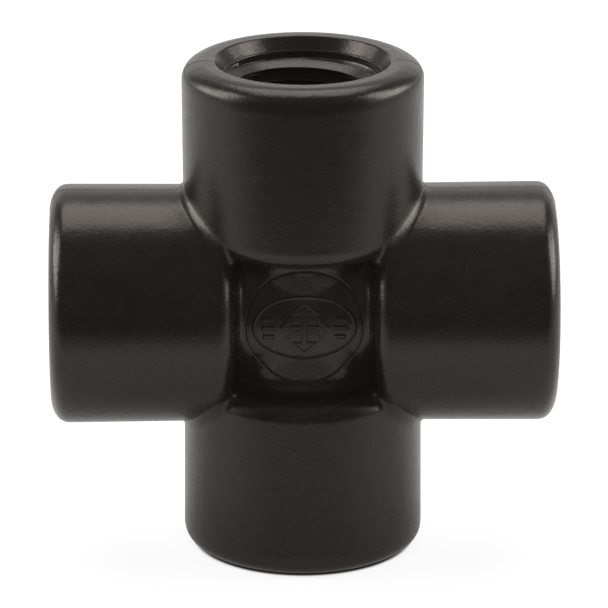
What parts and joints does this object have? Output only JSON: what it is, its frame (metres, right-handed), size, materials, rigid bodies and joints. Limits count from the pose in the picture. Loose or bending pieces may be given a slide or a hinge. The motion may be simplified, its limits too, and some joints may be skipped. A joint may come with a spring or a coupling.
{
  "type": "pipe cross fitting",
  "caption": "Four-way threaded pipe cross: four equal round collars at right angles in one plane, taper female threads, square recess front and back.",
  "frame": {"origin": "point where the two bores cross, at the middle of the fitting", "axes": "+Z along the vertical run out of the top port, +X along the horizontal run out of the right port, -Y out of the front pocket face"},
  "size_m": [0.0704, 0.0334, 0.0704],
  "materials": {
    "body_plastic": "charcoal-black filled polypropylene, fine moulded grain with a satin sheen"
  },
  "bodies": {
    "root": {"cross_body": "body_plastic"}
  },
  "joints": []
}
